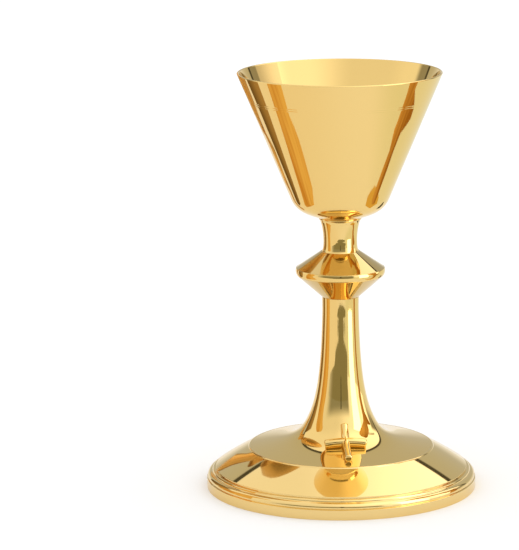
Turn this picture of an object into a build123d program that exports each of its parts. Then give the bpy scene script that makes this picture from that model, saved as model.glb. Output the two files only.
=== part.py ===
from build123d import *
import os
from math import cos, degrees, hypot, sin

# Communion chalice: a spun cup on a turned neck, a knop, and a trumpet stem on a round foot.
# Millimetres, +Z up, origin on the floor under the centre. The cross faces -Y.
# Outlines are half sections in the XZ plane: (radius, height).

# ---------------------------------------------------------------- driving dimensions
height = 206.0
rim_radius = 50.0
foot_radius = 66.4
wall = 1.0                  # spun sheet

# cup
cup_floor = 134.7           # flat underside of the cup
cup_corner = (24.2, 144.5)  # where the straight cone begins
hairline_heights = (192.2, 193.2)
hairline_depth = 0.15
hairline_half = 0.25        # half the width of an engraved line

# neck, knop and stem
seat_thickness = 0.9
seat_radius = 10.5
neck_foot = (9.0, 118.0)
knop_band_top = (21.55, 109.7)
knop_band_foot = (21.25, 106.1)
knop_band_radius = 21.9
knop_foot = (8.95, 95.2)
stem_top = (8.75, 95.2)
crease = (44.7, 20.5)       # the stem's flare meets the foot here

# stem outline, top to crease: two cubic curves that share a tangent
stem_joint = (15.4, 36.8)
stem_upper_curve = [stem_top, (9.4, 80.3), (9.0, 52.2), stem_joint]
stem_lower_curve = [stem_joint, (20.6, 24.3), (25.1, 24.5), crease]

# foot mouldings
bevel_foot = (62.0, 10.2)
band_height = 4.8
bevel_bulge = 0.3
ledge_width = 3.0           # of the foot, soldered under the flare's edge
ring_width = 4.6
ring_height = 2.5
sheet = 0.8                 # base plate
plate_bend = 59.5
dish_height = 9.0
access_radius = 18.0

# tie rod and fastening
rod_radius = 3.0
rod_clearance = 3.2
rod_low, rod_high = 15.0, 132.0
boss_radius = 6.5
boss_length = 11.0
neck_bore = 6.6
plate_height = 22.0         # underside of the clamp plate
plate_thickness = 2.0
washer_thickness = 1.2
nut_height = 5.0
nut_across_flats = 10.0
clamp_radius = 27.5
plug_length = 6.0

# cross of round bars, bent to follow the flare
bar_radius = 1.95
bar_lift = 1.55             # of the bars' middle line above the stem's skin
bar_end_length = 1.2        # straight end of a bar
bar_end_rounding = 0.8
arm_reach = 10.0            # from the middle of the cross to an arm's end
cross_span = (0.1, 0.875)   # ends of the upright's bent part along the stem's lower curve
cross_middle = 0.43         # the arms' place along the same curve
pin_fractions = (0.18, 0.7)
pin_radius = 0.8
pin_depth = 1.2

os.makedirs("parts", exist_ok=True)


def write(builder, name):
    """Label a finished sub-part and write its STEP file."""
    builder.part.label = name
    export_step(builder.part, f"parts/{name}.step")


def curve_point(points, t):
    """Point and unit tangent of a cubic Bezier curve in the half section."""
    weights = ((1 - t) ** 3, 3 * t * (1 - t) ** 2, 3 * t**2 * (1 - t), t**3)
    slopes = (-3 * (1 - t) ** 2, 3 * (1 - t) * (1 - 3 * t), 3 * t * (2 - 3 * t), 3 * t**2)
    r, z = (sum(w * p[axis] for w, p in zip(weights, points)) for axis in (0, 1))
    dr, dz = (sum(s * p[axis] for s, p in zip(slopes, points)) for axis in (0, 1))
    length = hypot(dr, dz)
    return (r, z), (dr / length, dz / length)


def offset_points(points, distance, count=6):
    """Points along a cubic Bezier curve, moved to its left-hand side (right if negative)."""
    moved = []
    for i in range(count):
        (r, z), (dr, dz) = curve_point(points, i / (count - 1))
        moved.append((r - distance * dz, z + distance * dr))
    return moved


# ---------------------------------------------------------------- cup
# Spun shell: flat floor, rolled corner, straight cone, rounded lip, two engraved hairlines.
cone_slope = (rim_radius - cup_corner[0]) / (height - cup_corner[1])


def cone_radius(z):
    """Outer radius of the straight cone at a height."""
    return rim_radius - (height - z) * cone_slope


cone_line = [cup_corner]
for z in hairline_heights:
    cone_line += [
        (cone_radius(z - hairline_half), z - hairline_half),
        (cone_radius(z) - hairline_depth, z),
        (cone_radius(z + hairline_half), z + hairline_half),
    ]
cone_line.append((rim_radius, height))
floor_edge = (seat_radius, cup_floor)
corner_curve = [floor_edge, (18.6, 137.3), (21.9, 138.9), cup_corner]
inner_corner = offset_points(corner_curve, wall)
inner_rim = (rim_radius - wall * hypot(1, cone_slope), height)

with BuildPart() as cup:
    with BuildSketch(Plane.XZ):
        with BuildLine():
            Line((0, cup_floor), floor_edge)
            Bezier(*corner_curve)
            Polyline(*cone_line, inner_rim, inner_corner[-1])
            inner_curve = Spline(inner_corner)
            Polyline(inner_curve @ 0, (0, cup_floor + wall), (0, cup_floor))
        make_face()
    revolve(axis=Axis.Z)
    lip = cup.edges().filter_by(GeomType.CIRCLE).group_by(Axis.Z)[-1]
    fillet(lip, radius=0.45 * wall)
write(cup, "cup")

# Boss brazed under the cup, tapped for the tie rod.
with BuildPart() as cup_boss:
    with BuildSketch(Plane.XY.offset(cup_floor)):
        Circle(boss_radius)
    extrude(amount=-boss_length)
    chamfer(cup_boss.edges().sort_by(Axis.Z)[0], length=0.8)
    with Locations((0, 0, cup_floor - boss_length)):
        Hole(radius=rod_radius + 0.02, depth=rod_high - cup_floor + boss_length)
write(cup_boss, "cup_boss")

# ---------------------------------------------------------------- neck
# Thin rounded ring that shows as the lip under the cup.
with BuildPart() as cup_seat:
    with BuildSketch(Plane.XY.offset(cup_floor - seat_thickness)):
        Circle(seat_radius)
        Circle(neck_bore, mode=Mode.SUBTRACT)
    extrude(amount=seat_thickness)
    outer_edges = cup_seat.edges().filter_by(GeomType.CIRCLE).sort_by(SortBy.RADIUS)[-2:]
    fillet(outer_edges, radius=0.4)
write(cup_seat, "cup_seat")

# Turned spool, bored through.
neck_top = (seat_radius - 0.3, cup_floor - seat_thickness)
with BuildPart() as neck:
    with BuildSketch(Plane.XZ):
        with BuildLine():
            Bezier(neck_foot, (7.6, 120.0), (8.2, 130.6), neck_top)
            Polyline(neck_top, (neck_bore, neck_top[1]), (neck_bore, neck_foot[1]), neck_foot)
        make_face()
    revolve(axis=Axis.Z)
write(neck, "neck")

# ---------------------------------------------------------------- knop
# Two hollow cones with a convex ring between them, clamped on a sleeve.
knop_top = (neck_foot[0] + 0.35, neck_foot[1])
with BuildPart() as knop_upper:
    with BuildSketch(Plane.XZ):
        with BuildLine():
            Polyline(
                (rod_clearance, knop_top[1]),
                knop_top,
                knop_band_top,
                (knop_band_top[0] - 1.8, knop_band_top[1]),
                (knop_top[0] - 0.8, knop_top[1] - wall),
                (rod_clearance, knop_top[1] - wall),
                close=True,
            )
        make_face()
    revolve(axis=Axis.Z)
write(knop_upper, "knop_upper")

with BuildPart() as knop_band:
    with BuildSketch(Plane.XZ):
        with BuildLine():
            band_middle = (knop_band_foot[1] + knop_band_top[1]) / 2
            band_lip = (knop_band_top[0] + 0.15, knop_band_top[1])
            ThreePointArc(knop_band_foot, (knop_band_radius, band_middle), band_lip)
            inner = knop_band_foot[0] - 2.0
            Polyline(band_lip, (inner, knop_band_top[1]), (inner, knop_band_foot[1]), knop_band_foot)
        make_face()
    revolve(axis=Axis.Z)
write(knop_band, "knop_band")

with BuildPart() as knop_lower:
    with BuildSketch(Plane.XZ):
        with BuildLine():
            Polyline(
                (rod_clearance, knop_foot[1]),
                knop_foot,
                knop_band_foot,
                (knop_band_foot[0] - 1.6, knop_band_foot[1]),
                (knop_foot[0] - 0.6, knop_foot[1] + wall),
                (rod_clearance, knop_foot[1] + wall),
                close=True,
            )
        make_face()
    revolve(axis=Axis.Z)
write(knop_lower, "knop_lower")

# Sleeve on the rod that carries the clamping load through the hollow knop.
with BuildPart() as knop_sleeve:
    with BuildSketch(Plane.XY.offset(knop_foot[1] + wall)):
        Circle(rod_clearance + 1.8)
        Circle(rod_clearance, mode=Mode.SUBTRACT)
    extrude(amount=(knop_top[1] - wall) - (knop_foot[1] + wall))
write(knop_sleeve, "knop_sleeve")

# ---------------------------------------------------------------- stem
# Spun trumpet: narrow at the top, flaring out to the crease on the foot.
with BuildPart() as flare_solid:
    with BuildSketch(Plane.XZ):
        with BuildLine():
            Bezier(*stem_upper_curve)
            Bezier(*stem_lower_curve)
            Polyline(crease, (0, crease[1]), (0, stem_top[1]), stem_top)
        make_face()
    revolve(axis=Axis.Z)


def upright_point(fraction, depth):
    """Point on the middle of the cross, a depth above the stem's skin, and the outward normal."""
    (r, z), (tr, tz) = curve_point(stem_lower_curve, fraction)
    normal = (-tz, tr)
    return (r + depth * normal[0], z + depth * normal[1]), normal


pin_planes = []
for fraction in pin_fractions:
    (pin_r, pin_z), pin_normal = upright_point(fraction, 0)
    pin_planes.append(Plane(origin=(0, -pin_r, pin_z), z_dir=(0, -pin_normal[0], pin_normal[1])))

inner_stem = offset_points(stem_upper_curve, -wall) + offset_points(stem_lower_curve, -wall)[1:]
inner_stem[0] = (stem_top[0] - wall, stem_top[1])
with BuildPart() as stem:
    with BuildSketch(Plane.XZ):
        with BuildLine():
            Bezier(*stem_upper_curve)
            Bezier(*stem_lower_curve)
            Line(crease, inner_stem[-1])
            Spline(inner_stem)
            Line(inner_stem[0], stem_top)
        make_face()
    revolve(axis=Axis.Z)
    for plane in pin_planes:
        with BuildSketch(plane):
            Circle(pin_radius)
        extrude(amount=2 * wall, both=True, mode=Mode.SUBTRACT)
write(stem, "stem")

# Plug brazed into the top of the stem; the rod runs through it.
with BuildPart() as stem_plug:
    with BuildSketch(Plane.XY.offset(stem_top[1])):
        Circle(stem_top[0] - wall - 0.05)
        Circle(rod_clearance, mode=Mode.SUBTRACT)
    extrude(amount=-plug_length)
    chamfer(stem_plug.edges().group_by(Axis.Z)[0].sort_by(SortBy.RADIUS)[-1], length=0.5)
write(stem_plug, "stem_plug")


# ---------------------------------------------------------------- cross
def bar_end(origin, direction):
    """Short straight end of a bar with a rounded rim."""
    with BuildPart() as end:
        with BuildSketch(Plane(origin=origin, z_dir=direction)):
            Circle(bar_radius)
        extrude(amount=bar_end_length)
        fillet(end.faces().sort_by(Axis(origin, direction))[-1].edges(), radius=bar_end_rounding)
    return end.part


# Cast cross bent to the flare: arms on a circle that follows it, and an upright along it.
# The bars start below the skin and are cut back to it.
(arm_r, arm_z), (out_r, out_z) = upright_point(cross_middle, 0)
outward = Vector(0, -out_r, out_z)
across = Vector(1, 0, 0)
bend_radius = arm_r / out_r
bend_centre = Vector(0, -arm_r, arm_z) - bend_radius * outward
bend_angle = (arm_reach - bar_end_length) / bend_radius
bend_axis = Axis(bend_centre, (0, out_z, out_r))
start_plane = Plane(
    origin=bend_centre,
    x_dir=cos(bend_angle) * outward - sin(bend_angle) * across,
    z_dir=cos(bend_angle) * across + sin(bend_angle) * outward,
)

with BuildPart() as arms:
    with BuildSketch(start_plane):
        with Locations((bend_radius + bar_lift, 0)):
            Circle(bar_radius)
    revolve(axis=bend_axis, revolution_arc=degrees(2 * bend_angle))

arm_ends = []
for side in (1, -1):
    aside = side * across
    place = bend_centre + (bend_radius + bar_lift) * (cos(bend_angle) * outward + sin(bend_angle) * aside)
    arm_ends.append(bar_end(place, cos(bend_angle) * aside - sin(bend_angle) * outward))

stations = 10
span = cross_span[1] - cross_span[0]
fractions = [cross_span[0] + span * i / stations for i in range(stations + 1)]
spine_points = [upright_point(fraction, bar_lift)[0] for fraction in fractions]
with BuildPart() as upright:
    with BuildLine():
        spine = Spline([(0, -r, z) for r, z in spine_points])
    with BuildSketch(Plane(origin=spine @ 0, x_dir=across, z_dir=spine % 0)):
        Circle(bar_radius)
    sweep()
upright_ends = [bar_end(spine @ 0, -(spine % 0)), bar_end(spine @ 1, spine % 1)]

with BuildPart() as cross:
    add(arms.part)
    add(upright.part)
    add(arm_ends + upright_ends)
    add(flare_solid.part, mode=Mode.SUBTRACT)
    for plane in pin_planes:
        with BuildSketch(plane.offset(-wall)):
            Circle(pin_radius)
        extrude(amount=wall + pin_depth, mode=Mode.SUBTRACT)
write(cross, "cross")

# Two pegs that pin the cross through the stem's wall.
with BuildPart() as cross_pins:
    for plane in pin_planes:
        with BuildSketch(plane.offset(-wall - 0.4)):
            Circle(pin_radius)
        extrude(amount=wall + 0.4 + pin_depth)
write(cross_pins, "cross_pins")


# ---------------------------------------------------------------- foot
# Spun shell: a ledge under the flare's edge, a fine lip, the bevel, two beads and the band.
(_, _), (edge_r, edge_z) = upright_point(1.0, 0)
crease_under = (crease[0] - wall * edge_r, crease[1] - wall * edge_z)
ledge_end = (crease_under[0] - ledge_width * edge_z, crease_under[1] + ledge_width * edge_r)
lip_foot = (crease[0] + 1.1, crease[1] - 0.6)
inner_radius = foot_radius - 1.2

with BuildPart() as foot:
    with BuildSketch(Plane.XZ):
        with BuildLine():
            ThreePointArc(crease, (crease[0] + 0.65, crease[1] - 0.08), lip_foot)
            SagittaArc(lip_foot, bevel_foot, -bevel_bulge)
            Polyline(bevel_foot, (62.0, 9.3), (62.4, 9.3))
            ThreePointArc((62.4, 9.3), (63.35, 9.05), (63.7, 8.2))
            Line((63.7, 8.2), (64.1, 8.0))
            ThreePointArc((64.1, 8.0), (65.7, 7.0), (66.05, 5.4))
            Polyline(
                (66.05, 5.4),
                (65.8, band_height + 0.3),
                (foot_radius, band_height),
                (foot_radius, 0),
                (inner_radius, 0),
                (inner_radius, 4.6),
                (61.3, 9.2),
                (lip_foot[0] - 0.6, lip_foot[1] - 1.0),
                (ledge_end[0] - wall * edge_r, ledge_end[1] - wall * edge_z),
                ledge_end,
                crease_under,
                crease,
            )
        make_face()
    revolve(axis=Axis.Z)
write(foot, "foot")

# Flat ring inside the band: the chalice stands on it.
with BuildPart() as foot_ring:
    with BuildSketch(Plane.XY):
        Circle(inner_radius)
        Circle(inner_radius - ring_width, mode=Mode.SUBTRACT)
    extrude(amount=ring_height)
    inner_edges = foot_ring.edges().filter_by(GeomType.CIRCLE).sort_by(SortBy.RADIUS)[:2]
    chamfer(inner_edges, length=0.4)
write(foot_ring, "foot_ring")

# Dished plate that closes the foot, with a hole to reach the nut.
with BuildPart() as base_plate:
    with BuildSketch(Plane.XZ):
        with BuildLine():
            Polyline(
                (inner_radius, ring_height),
                (inner_radius, ring_height + sheet),
                (plate_bend, ring_height + sheet),
                (access_radius, dish_height + sheet),
                (access_radius, dish_height),
                (plate_bend, ring_height),
                close=True,
            )
        make_face()
    revolve(axis=Axis.Z)
write(base_plate, "base_plate")

# ---------------------------------------------------------------- tie rod and fastening
with BuildPart() as tie_rod:
    with BuildSketch(Plane.XY.offset(rod_low)):
        Circle(rod_radius)
    extrude(amount=rod_high - rod_low)
    chamfer(tie_rod.edges().filter_by(GeomType.CIRCLE), length=0.6)
write(tie_rod, "tie_rod")

# Disc that wedges inside the flare and takes the nut's pull.
with BuildPart() as clamp_plate:
    with BuildSketch(Plane.XY.offset(plate_height)):
        Circle(clamp_radius)
        Circle(rod_clearance, mode=Mode.SUBTRACT)
    extrude(amount=plate_thickness)
    add(stem.part, mode=Mode.SUBTRACT)
write(clamp_plate, "clamp_plate")

with BuildPart() as washer:
    with BuildSketch(Plane.XY.offset(plate_height)):
        Circle(2.1 * rod_radius)
        Circle(rod_clearance, mode=Mode.SUBTRACT)
    extrude(amount=-washer_thickness)
write(washer, "washer")

with BuildPart() as nut:
    with BuildSketch(Plane.XY.offset(plate_height - washer_thickness)):
        RegularPolygon(radius=nut_across_flats / 2, side_count=6, major_radius=False)
        Circle(rod_radius + 0.02, mode=Mode.SUBTRACT)
    extrude(amount=-nut_height)
    chamfer(nut.edges().filter_by(GeomType.LINE).filter_by(Plane.XY), length=0.4)
write(nut, "nut")
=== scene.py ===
import math

import bpy
from mathutils import Matrix, Vector

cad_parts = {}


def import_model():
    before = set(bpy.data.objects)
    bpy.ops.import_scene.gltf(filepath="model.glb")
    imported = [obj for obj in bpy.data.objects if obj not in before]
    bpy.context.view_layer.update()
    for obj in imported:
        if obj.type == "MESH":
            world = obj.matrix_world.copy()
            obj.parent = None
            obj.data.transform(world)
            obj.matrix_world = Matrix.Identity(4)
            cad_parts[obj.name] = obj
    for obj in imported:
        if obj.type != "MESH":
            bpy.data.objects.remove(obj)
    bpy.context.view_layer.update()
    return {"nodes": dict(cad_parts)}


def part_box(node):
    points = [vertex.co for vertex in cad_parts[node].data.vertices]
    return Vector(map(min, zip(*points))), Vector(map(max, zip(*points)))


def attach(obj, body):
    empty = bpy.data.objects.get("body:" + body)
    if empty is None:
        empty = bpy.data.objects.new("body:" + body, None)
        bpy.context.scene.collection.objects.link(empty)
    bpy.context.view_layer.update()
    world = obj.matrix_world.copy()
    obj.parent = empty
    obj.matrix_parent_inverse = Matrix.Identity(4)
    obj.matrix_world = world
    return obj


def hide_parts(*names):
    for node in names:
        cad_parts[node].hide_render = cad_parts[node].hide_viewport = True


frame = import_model()

# Gold communion chalice. Outlines are half sections, (radius, height) in millimetres, that start from
# the boxes of the CAD nodes. Meshes are made in metres in the same frame.
MM = 0.001
SEGMENTS = 288              # round the axis
SHARP = math.radians(32)    # faces that meet at a larger angle shade as an edge
WALL = 1.0                  # spun sheet


def low(node):
    """Lowest corner of a CAD node, in millimetres."""
    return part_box(node)[0] / MM


def high(node):
    """Highest corner of a CAD node, in millimetres."""
    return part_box(node)[1] / MM


# ---------------------------------------------------------------- outlines
def line(a, b, count=2):
    """Points from a to b."""
    return [(a[0] + (b[0] - a[0]) * i / (count - 1), a[1] + (b[1] - a[1]) * i / (count - 1))
            for i in range(count)]


def bezier_point(controls, t):
    """Point of a cubic curve."""
    weights = ((1 - t) ** 3, 3 * t * (1 - t) ** 2, 3 * t * t * (1 - t), t ** 3)
    return tuple(sum(w * p[k] for w, p in zip(weights, controls)) for k in (0, 1))


def bezier(p0, p1, p2, p3, count=64):
    """Points along a cubic curve."""
    return [bezier_point((p0, p1, p2, p3), i / (count - 1)) for i in range(count)]


def arc(a, middle, b, count=24):
    """Points along the circle through three points."""
    (ax, ay), (mx, my), (bx, by) = a, middle, b
    d = 2 * (ax * (my - by) + mx * (by - ay) + bx * (ay - my))
    a2, m2, b2 = ax * ax + ay * ay, mx * mx + my * my, bx * bx + by * by
    cx = (a2 * (my - by) + m2 * (by - ay) + b2 * (ay - my)) / d
    cy = (a2 * (bx - mx) + m2 * (ax - bx) + b2 * (mx - ax)) / d
    radius = math.hypot(ax - cx, ay - cy)
    start = math.atan2(ay - cy, ax - cx)
    turn = (math.atan2(by - cy, bx - cx) - start) % (2 * math.pi)
    half = (math.atan2(my - cy, mx - cx) - start) % (2 * math.pi)
    if half > turn:
        turn -= 2 * math.pi
    return [(cx + radius * math.cos(start + turn * i / (count - 1)),
             cy + radius * math.sin(start + turn * i / (count - 1))) for i in range(count)]


def eased(points, radius, steps=5):
    """The closed outline with each sharp corner rounded by about a radius, as polishing leaves it."""
    out = []
    for i, p in enumerate(points):
        here = Vector(p)
        first = Vector(points[i - 1]) - here
        second = Vector(points[(i + 1) % len(points)]) - here
        if first.angle(second) > math.radians(165):
            out.append(p)
            continue
        reach = min(radius, 0.45 * first.length, 0.45 * second.length)
        start = here + first.normalized() * reach
        end = here + second.normalized() * reach
        for k in range(steps + 1):
            t = k / steps
            q = (1 - t) ** 2 * start + 2 * t * (1 - t) * here + t * t * end
            out.append((q.x, q.y))
    return out


def joined(*runs):
    """One outline from several runs, without the repeated points where they meet."""
    points = []
    for run in runs:
        for p in run:
            if not points or math.dist(points[-1], p) > 1e-4:
                points.append(tuple(p))
    if math.dist(points[0], points[-1]) < 1e-4:
        points.pop()
    return points


def offset(points, distance):
    """The open run moved sideways, to the left of the way it goes."""
    out = []
    for i, (r, z) in enumerate(points):
        before, after = Vector(points[max(i - 1, 0)]), Vector(points[min(i + 1, len(points) - 1)])
        along = (after - before).normalized()
        out.append((r - distance * along.y, z + distance * along.x))
    return out


def dense(points, step, hold=0.06):
    """The closed outline with long runs divided, and held close to their ends so that they shade flat."""
    out = []
    for i, a in enumerate(points):
        b = points[(i + 1) % len(points)]
        length = math.dist(a, b)
        count = max(1, int(length / step))
        shares = [k / count for k in range(count)]
        if length > 6 * hold:
            shares = [0, hold / length] + shares[1:] + [1 - hold / length]
        out += [(a[0] + (b[0] - a[0]) * t, a[1] + (b[1] - a[1]) * t) for t in shares]
    return out


def linked(name, vertices, faces):
    """A new mesh object in the scene."""
    mesh = bpy.data.meshes.new(name)
    mesh.from_pydata(vertices, [], faces)
    thing = bpy.data.objects.new(name, mesh)
    bpy.context.scene.collection.objects.link(thing)
    return thing


def finished(piece, replaced, material):
    """A piece of the chalice that stands for a CAD node, smooth up to its sharp edges."""
    piece.data.shade_smooth()
    piece.data.set_sharp_from_angle(angle=SHARP)
    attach(piece, "root")
    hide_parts(replaced)
    give(piece, material)


def turned(name, outline, replaced, material, step=4.0):
    """A closed half section spun round +Z."""
    outline = dense(outline, step)
    area = sum(a[0] * b[1] - b[0] * a[1] for a, b in zip(outline, outline[1:] + outline[:1]))
    if area < 0:
        outline.reverse()
    vertices, rings = [], []
    for r, z in outline:
        if r < 1e-5:
            rings.append([len(vertices)] * SEGMENTS)
            vertices.append((0, 0, z * MM))
            continue
        rings.append(list(range(len(vertices), len(vertices) + SEGMENTS)))
        for k in range(SEGMENTS):
            angle = 2 * math.pi * k / SEGMENTS
            vertices.append((r * MM * math.cos(angle), r * MM * math.sin(angle), z * MM))
    faces = []
    for i, ring in enumerate(rings):
        following = rings[(i + 1) % len(rings)]
        for k in range(SEGMENTS):
            j = (k + 1) % SEGMENTS
            corners = [ring[k], ring[j], following[j], following[k]]
            unique = list(dict.fromkeys(corners))
            if len(unique) > 2:
                faces.append(unique)
    piece = linked(name, vertices, faces)
    piece.data.validate()
    finished(piece, replaced, material)


# ---------------------------------------------------------------- materials
VIEW_TURN = math.radians(-4.0)      # of the studio's axes, round Z, from the frame's


class Tree:
    """Short calls for wiring shader nodes."""

    def __init__(self, tree):
        self.tree = tree

    def node(self, kind, **settings):
        made = self.tree.nodes.new("ShaderNode" + kind)
        for name, value in settings.items():
            setattr(made, name, value)
        return made

    def put(self, value, socket):
        """A number or colour on a socket, or a link into it."""
        if isinstance(value, (int, float, tuple)):
            socket.default_value = value
        else:
            self.tree.links.new(value, socket)

    def maths(self, operation, *values):
        made = self.node("Math", operation=operation)
        for value, socket in zip(values, made.inputs):
            self.put(value, socket)
        return made.outputs[0]

    def smooth(self, value, low_end, high_end, start=0.0, stop=1.0):
        """Start below one end, stop above the other, with a smooth step between."""
        made = self.node("MapRange", interpolation_type="SMOOTHSTEP")
        for item, socket in zip((value, low_end, high_end, start, stop), made.inputs):
            self.put(item, socket)
        return made.outputs[0]

    def noise(self, place, scale, detail=2.0):
        """Noise from 0 to 1 at a place."""
        made = self.node("TexNoise")
        made.inputs["Scale"].default_value = scale
        made.inputs["Detail"].default_value = detail
        self.put(place, made.inputs["Vector"])
        return made.outputs[0]

    def mix(self, factor, first, second):
        made = self.node("Mix", data_type="RGBA")
        self.put(factor, made.inputs["Factor"])
        for item, socket in zip((first, second), (made.inputs[6], made.inputs[7])):
            self.put(item, socket)
        return made.outputs[2]

    def studio_axes(self, place, turn=0.0):
        """X, Y and Z of a place along the studio's own axes, turned round Z by a further angle."""
        rotate = self.node("VectorRotate", rotation_type="Z_AXIS")
        self.put(place, rotate.inputs["Vector"])
        self.put(-VIEW_TURN - turn, rotate.inputs["Angle"])
        split = self.node("SeparateXYZ")
        self.put(rotate.outputs[0], split.inputs[0])
        return split.outputs


def grey(level, tint=(1, 1, 1)):
    """A colour of one level, with a slight tint."""
    return (level * tint[0], level * tint[1], level * tint[2], 1)


def metal(name, tint, roughness, marks, haze):
    """Turned metal: fine marks round the axis from the lathe and buffing, and faint cloudy wear."""
    material = bpy.data.materials.new(name)
    material.use_nodes = True
    tree = Tree(material.node_tree)
    shader = material.node_tree.nodes["Principled BSDF"]
    shader.inputs["Base Color"].default_value = (*tint, 1)
    shader.inputs["Metallic"].default_value = 1.0
    place = tree.node("TexCoord").outputs["Object"]
    split = tree.node("SeparateXYZ")
    tree.put(place, split.inputs[0])
    x, y, z = split.outputs
    squares = tree.maths("ADD", tree.maths("MULTIPLY", x, x), tree.maths("MULTIPLY", y, y))
    radius = tree.maths("SQRT", squares)
    angle = tree.maths("MULTIPLY", tree.maths("ARCTAN2", y, x), 0.002)
    rings = tree.node("CombineXYZ")
    for value, socket in zip((radius, z, angle), rings.inputs):
        tree.put(value, socket)
    lathe = tree.noise(rings.outputs[0], 2600, 3)
    wear = tree.noise(place, 42, 4)
    rough = tree.maths("ADD", tree.maths("MULTIPLY", wear, haze), roughness - 0.5 * haze)
    rough = tree.maths("ADD", rough, tree.maths("MULTIPLY", lathe, 0.01))
    tree.put(rough, shader.inputs["Roughness"])
    bump = tree.node("Bump")
    bump.inputs["Strength"].default_value = marks
    bump.inputs["Distance"].default_value = 0.0001
    tree.put(lathe, bump.inputs["Height"])
    tree.put(bump.outputs[0], shader.inputs["Normal"])
    return material


polished = metal("gold_polished", (0.905, 0.645, 0.245), roughness=0.035, marks=0.012, haze=0.02)
foot_gold = metal("gold_foot", (0.905, 0.665, 0.28), roughness=0.035, marks=0.012, haze=0.02)
# the knop's cones: a darker copy of the same polished gold, painted shade
knop_gold_shaded = metal("gold_knop_shaded", (0.72, 0.52, 0.215), roughness=0.045, marks=0.02, haze=0.03)
satin = metal("gold_satin", (0.88, 0.62, 0.25), roughness=0.26, marks=0.09, haze=0.12)
brass = metal("brass_plain", (0.78, 0.56, 0.25), roughness=0.2, marks=0.12, haze=0.16)
steel = metal("steel_fastener", (0.58, 0.57, 0.55), roughness=0.24, marks=0.12, haze=0.1)


def give(piece, material):
    """The one material of a piece."""
    piece.data.materials.clear()
    piece.data.materials.append(material)


# ---------------------------------------------------------------- cup
height = high("cup")[2]
cup_floor = low("cup")[2]
rim = (50.0, height)        # where the cone's outside would meet the top without the rounded lip
corner = (24.2, cup_floor + 9.8)
slope = (rim[0] - corner[0]) / (rim[1] - corner[1])
floor_edge = (high("cup_seat")[0], cup_floor)
HAIRLINE_DROPS = (13.8, 12.8)       # of the two engraved lines, below the rim
HAIRLINE_DEPTH = 0.05               # fainter than the CAD's 0.15, as in the photo


def cup_outline():
    """Flat floor, rolled corner, straight cone with two engraved lines, and a rounded lip."""
    outer_corner = bezier(floor_edge, (18.6, cup_floor + 2.6), (21.9, cup_floor + 4.2), corner)
    cone = [corner]
    for drop in HAIRLINE_DROPS:
        for side, depth in ((-0.25, 0), (-0.05, HAIRLINE_DEPTH), (0.05, HAIRLINE_DEPTH), (0.25, 0)):
            z = height - drop + side
            cone.append((rim[0] - (height - z) * slope - depth, z))
    lip_out = (rim[0] - 0.45 * slope, height - 0.45)
    lip_in = (rim[0] - WALL * math.hypot(1, slope) - 0.4 * slope, height - 0.4)
    lip_top = ((lip_out[0] + lip_in[0]) / 2, height)
    cone.append(lip_out)
    lip = arc(lip_out, lip_top, lip_in, 16)
    inner = offset(outer_corner, WALL)
    return joined(line((0, cup_floor), floor_edge), outer_corner, cone, lip, inner[::-1],
                  line((inner[0][0], cup_floor + WALL), (0, cup_floor + WALL)))


turned("cup_spun", cup_outline(), "cup", polished)

# ---------------------------------------------------------------- neck and seat
seat_low, seat_high = low("cup_seat")[2], high("cup_seat")[2]
seat_radius = high("cup_seat")[0]
bore = 6.6


def seat_outline():
    """Thin ring with a rounded edge."""
    middle = (seat_low + seat_high) / 2
    edge = arc((seat_radius - 0.35, seat_low), (seat_radius, middle), (seat_radius - 0.35, seat_high), 12)
    return joined([(bore, seat_low)], edge, [(bore, seat_high)])


def neck_outline():
    """Waisted spool."""
    foot, top = (9.0, low("neck")[2]), (seat_radius - 0.3, seat_low)
    skin = bezier(foot, (7.6, foot[1] + 2.0), (8.2, top[1] - 3.2), top)
    return joined(skin, [(bore, top[1]), (bore, foot[1])])


turned("cup_seat_ring", seat_outline(), "cup_seat", polished)
turned("neck_turned", neck_outline(), "neck", polished)

# ---------------------------------------------------------------- knop
band_low, band_high = low("knop_band")[2], high("knop_band")[2]
knop_low, knop_high = low("knop_lower")[2], high("knop_upper")[2]
rod_hole = 3.2


def knop_upper_outline():
    """Hollow cone with a flat top."""
    skin = [(rod_hole, knop_high), (9.35, knop_high), (21.55, band_high), (19.75, band_high),
            (8.55, knop_high - WALL), (rod_hole, knop_high - WALL)]
    return eased(skin, 0.15)


def knop_lower_outline():
    """Hollow cone with a flat bottom."""
    skin = [(rod_hole, knop_low), (8.95, knop_low), (21.25, band_low), (19.65, band_low),
            (8.35, knop_low + WALL), (rod_hole, knop_low + WALL)]
    return eased(skin, 0.12)


def knop_band_outline():
    """Ring with a rounded face between the two cones."""
    middle = (band_low + band_high) / 2
    skin = arc((21.25, band_low), (21.9, middle), (21.7, band_high), 20)
    return eased(joined(skin, [(19.25, band_high), (19.25, band_low)]), 0.12)


turned("knop_upper_spun", knop_upper_outline(), "knop_upper", knop_gold_shaded, step=1.5)
turned("knop_band_ring", knop_band_outline(), "knop_band", polished)
turned("knop_lower_spun", knop_lower_outline(), "knop_lower", knop_gold_shaded, step=1.5)

# ---------------------------------------------------------------- stem
crease = (high("stem")[0], 20.5)
stem_top = (8.75, high("stem")[2])
joint = (15.4, 36.8)
lower_curve = (joint, (20.6, 24.3), (25.1, 24.5), crease)
STRAIGHT_TOP = 9.2          # length under the knop over which the stem stays nearly straight
FULLER = 0.28               # and how much fuller it is there


def stem_outline():
    """Trumpet: two cubic curves that share a tangent, the upper one nearly straight under the knop."""
    upper = []
    for r, z in bezier(stem_top, (9.4, 80.3), (9.0, 52.2), joint, 96):
        share = max(0.0, 1 - (stem_top[1] - z) / STRAIGHT_TOP)
        upper.append((r + FULLER * share ** 2, z))
    skin = joined(upper, bezier(*lower_curve, 128))
    return joined(skin, offset(skin, -WALL)[::-1])


turned("stem_spun", stem_outline(), "stem", polished)

# ---------------------------------------------------------------- foot
foot_radius = high("foot")[0]
inner_radius = high("foot_ring")[0]
bevel_foot = (62.0, 10.2)
band_height = 4.8


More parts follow.
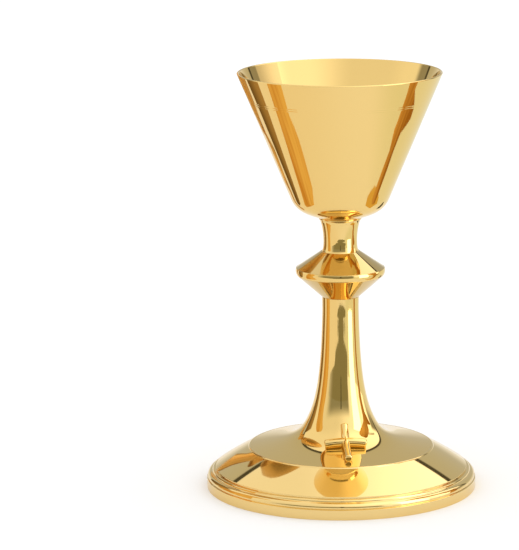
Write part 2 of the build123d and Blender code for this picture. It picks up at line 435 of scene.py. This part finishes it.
def foot_outline():
    """A fine lip at the crease, the bevel, two beads with grooves between, and the upright band."""
    lip = arc(crease, (crease[0] + 0.65, crease[1] - 0.08), (crease[0] + 1.1, crease[1] - 0.6), 12)
    r, z = lip[-1]
    crown = ((r + bevel_foot[0]) / 2 + 0.15, (z + bevel_foot[1]) / 2 + 0.26)
    bevel = arc(lip[-1], crown, bevel_foot, 40)
    small_bead = arc((62.4, 9.3), (63.35, 9.05), (63.7, 8.2), 14)
    large_bead = arc((64.1, 8.0), (65.7, 7.0), (66.05, 5.4), 24)
    band = [(65.8, 5.1), (foot_radius, band_height), (foot_radius, 0)]
    under = [(inner_radius, 0), (inner_radius, 4.6), (61.3, 9.2), (45.2, 18.9), (41.36, 19.14),
             (41.56, 20.12), (44.5, 19.52)]
    return eased(joined(lip, bevel, [(bevel_foot[0], 9.3)], small_bead, large_bead, band, under), 0.1)


turned("foot_spun", foot_outline(), "foot", foot_gold, step=2.0)

# ---------------------------------------------------------------- cross
BAR = 1.95                  # radius of the round bars
LIFT = 1.55                 # of their middle line above the stem's skin
BAR_END = 1.2               # straight end of a bar
RIM = 0.8                   # rounding of its edge
ARM_REACH = 10.0            # from the middle of the cross to an arm's end
UPRIGHT_SPAN = (0.1, 0.875)     # ends of the upright's bent part along the stem's lower curve
ARMS_AT = 0.43              # the arms' place along it
FRONT = Vector((0, -1, 0))
UP = Vector((0, 0, 1))
ACROSS = Vector((1, 0, 0))


def on_skin(t):
    """A point on the front of the flare, and the way out of the skin there."""
    here = Vector(bezier_point(lower_curve, t))
    along = (Vector(bezier_point(lower_curve, t + 0.001)) - here).normalized()
    return here.x * FRONT + here.y * UP, -along.y * FRONT + along.x * UP


def bar(name, path, side, around=56):
    """A round bar along a path that lies in the plane across the side, with rounded rims at its ends."""
    first, last = (path[0] - path[1]).normalized(), (path[-1] - path[-2]).normalized()
    start, stop = path[0] + BAR_END * first, path[-1] + BAR_END * last
    turns = [k * math.pi / 16 for k in range(9)]
    ends = [(RIM * (1 - math.cos(turn)), BAR - RIM * (1 - math.sin(turn))) for turn in turns]
    stations = [(start - inset * first, radius, -first) for inset, radius in ends]
    for before, here, after in zip([start] + path, path, path[1:] + [stop]):
        stations.append((here, BAR, (after - before).normalized()))
    stations += [(stop - inset * last, radius, last) for inset, radius in reversed(ends)]
    vertices = []
    for centre, radius, along in stations:
        third = along.cross(side)
        for k in range(around):
            angle = 2 * math.pi * k / around
            vertices.append((centre + radius * (math.cos(angle) * side + math.sin(angle) * third)) * MM)
    faces = [tuple(range(around)), tuple(range(len(vertices) - 1, len(vertices) - 1 - around, -1))]
    for i in range(len(stations) - 1):
        for k in range(around):
            j = (k + 1) % around
            faces.append((i * around + j, i * around + k, (i + 1) * around + k, (i + 1) * around + j))
    return linked(name, vertices, faces)


def cross():
    """Arms on a circle that follows the flare and an upright along it, joined into one casting."""
    first, last = UPRIGHT_SPAN
    spine = []
    for i in range(81):
        point, out = on_skin(first + (last - first) * i / 80)
        spine.append(point + LIFT * out)
    upright = bar("cross_bars", spine, ACROSS)
    middle, out = on_skin(ARMS_AT)
    bend = -middle.y / -out.y
    centre = middle - bend * out
    half = (ARM_REACH - BAR_END) / bend
    sweep = [half * (i / 20 - 1) for i in range(41)]
    path = [centre + (bend + LIFT) * (math.cos(turn) * out + math.sin(turn) * ACROSS) for turn in sweep]
    arms = bar("cross_arms", path, out.cross(ACROSS))
    union = upright.modifiers.new("union", "BOOLEAN")
    union.operation = "UNION"
    union.solver = "EXACT"
    union.object = arms
    whole = upright.evaluated_get(bpy.context.evaluated_depsgraph_get())
    mesh = bpy.data.meshes.new_from_object(whole)
    upright.modifiers.clear()
    upright.data = mesh
    bpy.data.objects.remove(arms)
    finished(upright, "cross", polished)


cross()

# ---------------------------------------------------------------- CAD nodes that stay
for finish, names in ((polished, ("foot_ring",)),
                      (satin, ("base_plate",)),
                      (brass, ("cup_boss", "knop_sleeve", "stem_plug", "clamp_plate", "cross_pins")),
                      (steel, ("tie_rod", "washer", "nut"))):
    for name in names:
        give(frame["nodes"][name], finish)


# ---------------------------------------------------------------- studio
MAT_HEIGHT = 0.4            # above the floor, so that the two surfaces don't coincide


def in_studio(x, y, z):
    """A place given in millimetres along the studio's own axes, in the frame's metres."""
    return Matrix.Rotation(VIEW_TURN, 4, "Z") @ Vector((x * MM, y * MM, z * MM))


def stage_mesh(name, vertices, faces):
    """A mesh of the studio, which isn't part of the chalice."""
    thing = linked(name, vertices, faces)
    return thing


def only_reflected(thing):
    """Seen in polished metal and nowhere else, so it lights nothing and hides nothing."""
    thing.visible_camera = False
    thing.visible_diffuse = False
    thing.visible_shadow = False
    thing.visible_transmission = False
    thing.visible_volume_scatter = False


def glowing(name, corners, angle, ends, color, edge, streaks):
    """A flat shape that shows only in reflections. Its glow is a painted reflection of a lit thing round
    the object, or of a lamp where it stands for one. Its colour may change to another from end to end
    across the direction that it faces, and have upright streaks."""
    panel = stage_mesh(name, corners, [tuple(range(len(corners)))])
    only_reflected(panel)
    material = bpy.data.materials.new(name)
    material.use_nodes = True
    tree = Tree(material.node_tree)
    material.node_tree.nodes.remove(material.node_tree.nodes["Principled BSDF"])
    glow = tree.node("Emission")
    tree.put(glow.outputs[0], material.node_tree.nodes["Material Output"].inputs["Surface"])
    panel.data.materials.append(material)
    if edge is None:
        glow.inputs["Color"].default_value = color
        return
    across, _, height = tree.studio_axes(tree.node("TexCoord").outputs["Object"], angle)
    share = tree.smooth(across, min(ends) * MM, max(ends) * MM)
    stretch = tree.node("CombineXYZ")
    tree.put(across, stretch.inputs[0])
    tree.put(tree.maths("MULTIPLY", height, 0.12), stretch.inputs[2])
    noise = tree.noise(stretch.outputs[0], 90.0)
    streak = tree.maths("MULTIPLY", tree.maths("SUBTRACT", noise, 0.5), streaks)
    tree.put(tree.mix(tree.maths("ADD", share, streak), color, edge), glow.inputs["Color"])


def card(name, azimuth, distance, outline, color, edge=None, streaks=0.0):
    """An upright panel that faces the axis from an azimuth, in degrees round from the camera's side. The
    outline is (across, height) in millimetres."""
    angle = math.radians(azimuth)
    sine, cosine = math.sin(angle), math.cos(angle)
    corners = [in_studio(distance * sine + across * cosine, across * sine - distance * cosine, z)
               for across, z in outline]
    glowing(name, corners, angle, [across for across, _ in outline], color, edge, streaks)


def mat(name, outline, color):
    """A shape lying on the floor. The outline is (x, y) in millimetres."""
    corners = [in_studio(x, y, MAT_HEIGHT) for x, y in outline]
    glowing(name, corners, 0.0, [], color, None, 0.0)


def floor():
    """Plain white floor. In the metal it shows painted light: a little warmer to the left and greyer to
    the right.
    """
    reach = 6.0
    corners = [(-reach, -reach, 0), (reach, -reach, 0), (reach, reach, 0), (-reach, reach, 0)]
    plane = stage_mesh("floor", corners, [(0, 1, 2, 3)])
    material = bpy.data.materials.new("floor_white")
    material.use_nodes = True
    tree = Tree(material.node_tree)
    shader = material.node_tree.nodes["Principled BSDF"]
    shader.inputs["Roughness"].default_value = 0.9
    shader.inputs["Specular IOR Level"].default_value = 0.0
    x = tree.studio_axes(tree.node("TexCoord").outputs["Object"])[0]
    # painted light, seen only in the metal: warmer to the left, greyer to the right
    seen = tree.mix(tree.smooth(x, -0.25, 0.1), grey(0.82, (1, 0.95, 0.86)), grey(0.86))
    seen = tree.mix(tree.smooth(x, 0.12, 0.26), seen, grey(0.77, (0.97, 1, 0.88)))
    path = tree.node("LightPath")
    tree.put(tree.mix(path.outputs["Is Glossy Ray"], grey(0.93), seen), shader.inputs["Base Color"])
    plane.data.materials.append(material)


# the backdrop's arch, in degrees from straight behind and above the floor, and how square its corners are
ARCH_SIDE = 51.0
ARCH_TOP = 43.5
ARCH_SQUARENESS = 2.8


def world():
    """Even white light. Polished metal sees the studio in it instead: a bright ceiling that is stronger on
    the right, a grey backdrop under an arch with a dark rim, and a dim room in front."""
    sky = bpy.data.worlds.new("studio")
    bpy.context.scene.world = sky
    sky.use_nodes = True
    tree = Tree(sky.node_tree)
    back = sky.node_tree.nodes["Background"]
    x, y, z = tree.studio_axes(tree.node("TexCoord").outputs["Generated"])
    azimuth = tree.maths("DEGREES", tree.maths("ARCTAN2", x, tree.maths("MULTIPLY", y, -1.0)))
    elevation = tree.maths("DEGREES", tree.maths("ARCSINE", z))

    # ceiling
    side = tree.smooth(x, -0.3, 0.6)
    color = tree.mix(side, grey(1.0, (1, 0.98, 0.92)), grey(1.7))
    front = tree.maths("MULTIPLY", tree.smooth(y, 0.1, -0.35), tree.smooth(z, 0.9, 0.6))
    color = tree.mix(front, color, tree.mix(side, grey(0.92, (1, 0.98, 0.92)), grey(1.3)))

    # backdrop: grey inside the arch, darker beside it, with a dark rim, and white where it meets the floor
    behind = tree.maths("SUBTRACT", 180.0, tree.maths("ABSOLUTE", azimuth))
    off = tree.maths("POWER", tree.maths("DIVIDE", behind, ARCH_SIDE), ARCH_SQUARENESS)
    above = tree.maths("DIVIDE", tree.maths("MAXIMUM", elevation, 0.0), ARCH_TOP)
    up = tree.maths("POWER", above, ARCH_SQUARENESS)
    reach = tree.maths("ADD", off, up)
    wing = tree.maths("MULTIPLY", tree.smooth(behind, 70.0, 61.0), tree.smooth(elevation, 30.0, 18.0))
    color = tree.mix(wing, color, grey(0.33, (1, 0.98, 0.85)))
    color = tree.mix(tree.smooth(reach, 1.03, 0.97), color, grey(0.08, (1, 0.95, 0.7)))
    color = tree.mix(tree.smooth(reach, 0.84, 0.76), color, grey(0.55, (1, 1.01, 0.94)))
    sweep = tree.maths("MULTIPLY", tree.smooth(elevation, 11.0, 0.0), tree.smooth(behind, 75.0, 55.0))
    color = tree.mix(sweep, color, grey(0.84, (1, 1, 0.95)))

    # dim room in front
    left = tree.smooth(azimuth, -68.0, -42.0)
    right = tree.smooth(azimuth, 38.0, 28.0)
    top = tree.smooth(elevation, 30.0, 14.0)
    room = tree.maths("MULTIPLY", tree.maths("MULTIPLY", left, right), top)
    color = tree.mix(room, color, grey(0.31, (1, 1.02, 0.85)))

    path = tree.node("LightPath")
    tree.put(tree.mix(path.outputs["Is Glossy Ray"], grey(1.15), color), back.inputs["Color"])
    back.inputs["Strength"].default_value = 1.0


def neighbour():
    """A satin gold turned form behind on the left, seen only in the metal."""
    section = [(0, 232), (30, 231), (44, 224), (50, 210), (46, 188), (24, 144), (10, 134), (8, 126),
               (21.5, 108), (9, 95), (9.5, 60), (15, 37), (0, 37)]
    x, y = -96, 107
    steps = 64
    turns = [2 * math.pi * k / steps for k in range(steps)]
    vertices = [in_studio(x + r * math.cos(turn), y + r * math.sin(turn), z)
                for r, z in section for turn in turns]
    faces = []
    for i in range(len(section) - 1):
        for k in range(steps):
            j = (k + 1) % steps
            faces.append((i * steps + k, i * steps + j, (i + 1) * steps + j, (i + 1) * steps + k))
    form = stage_mesh("neighbour", vertices, faces)
    form.data.shade_smooth()
    form.data.set_sharp_from_angle(angle=math.radians(20))
    finish = metal("neighbour_satin", (0.64, 0.4, 0.145), roughness=0.35, marks=0.012, haze=0.02)
    form.data.materials.append(finish)
    only_reflected(form)


def cards():
    """Posts and panels that stand round the object, seen only in the metal. Their outlines follow what the
    metal mirrors in the photo. The softbox stands for a lamp; the posts, mats and room shapes glow though
    they are no lamps: painted reflections of lit things."""
    left = [(-50, 0), (62, 0), (60, 30), (58, 45), (52, 60), (46, 72), (50, 92), (60, 115), (66, 140),
            (60, 152), (46, 160), (6, 142), (2, 118), (-4, 95), (-12, 72), (-18, 60), (-26, 45), (-38, 30)]
    card("post_left", -90, 150, left, (0.62, 0.30, 0.06, 1), (0.86, 0.56, 0.19, 1), 2.8)
    right = [(-15, 0), (10, 0), (24, 20), (28, 40), (26, 55), (30, 70), (50, 80), (64, 87), (56, 94),
             (20, 100), (24, 130), (25, 180), (34, 210), (42, 235), (38, 262), (-36, 262), (-70, 240),
             (-80, 207), (-68, 155), (-50, 130), (-36, 115), (-18, 98), (-12, 86), (-12, 65), (-15, 57),
             (-2, 46), (-8, 28), (-12, 15)]
    card("post_right", 90, 175, right, (0.85, 0.48, 0.14, 1), (0.36, 0.15, 0.02, 1), 1.8)
    back = [(-22, 0), (30, 0), (55, 30), (72, 60), (78, 100), (70, 135), (-6, 135), (-6, 100), (-12, 60),
            (-18, 30)]
    card("post_left_back", -128, 225, back, (0.13, 0.075, 0.02, 1), (0.44, 0.28, 0.11, 1), 0.4)
    card("softbox_right", 60, 440, [(-105, 0), (105, 0), (105, 420), (-105, 420)], grey(3.0))
    upper = [(-30, 385), (270, 335), (280, 415), (-30, 490)]
    card("right_upper", 90, 450, upper, grey(1.25, (1, 0.96, 0.96)), grey(0.68, (1, 0.95, 0.88)))
    dim = (0.27, 0.26, 0.17, 1)
    room = [(-300, 9), (335, 8), (356, 12), (340, 28), (318, 47), (292, 77), (308, 109), (286, 151),
            (-364, 151), (-364, 27), (-311, 16)]
    card("room_front", 0, 490, room, dim)
    card("room_side", 0, 491, [(-841, 23), (-364, 26), (-364, 151), (-841, 151)], grey(0.62), dim)
    card("stand", 0, 480, [(-14, 60), (3, 60), (8, 203), (-20, 203)], grey(0.02))
    foot = [(128, 20), (138, -50), (150, -56), (165, -44), (180, -28), (198, 8), (204, 54), (192, 58),
            (178, 42), (160, 30), (140, 24)]
    mat("post_right_foot", foot, (0.76, 0.48, 0.12, 1))
    behind = [(124, 118), (150, 120), (172, 140), (208, 178), (208, 206), (170, 202), (136, 172)]
    mat("right_back", behind, (0.05, 0.04, 0.015, 1))
    table = [(-60, -402), (40, -405), (145, -392), (218, -382), (243, -444), (220, -484), (137, -516),
             (131, -530), (201, -533), (348, -520), (436, -599), (-408, -641), (-336, -540), (-183, -545),
             (-110, -537), (-151, -513), (-184, -501), (-196, -467), (-138, -417)]
    mat("table_front", table, dim)


EYE = (-39.62, -1514.2, 413.1)      # the camera's place in the studio, in millimetres
EYE_DOWN = math.radians(11.46)      # how far it looks down
EYE_ROLL = math.radians(-0.503)
LENS = 206.46


def camera():
    """In front, a little to the left, looking down, with a long lens."""
    data = bpy.data.cameras.new("camera")
    data.sensor_width = 36.0
    data.lens = LENS
    data.clip_end = 20.0
    eye = bpy.data.objects.new("camera", data)
    bpy.context.scene.collection.objects.link(eye)
    aim = Matrix.Rotation(VIEW_TURN, 4, "Z") @ Matrix.Rotation(math.pi / 2 - EYE_DOWN, 4, "X")
    roll = Matrix.Rotation(EYE_ROLL, 4, "Z")
    eye.matrix_world = Matrix.Translation(in_studio(*EYE)) @ aim @ roll
    bpy.context.scene.camera = eye


floor()
world()
neighbour()
cards()
camera()
bpy.context.scene.view_settings.view_transform = "Standard"
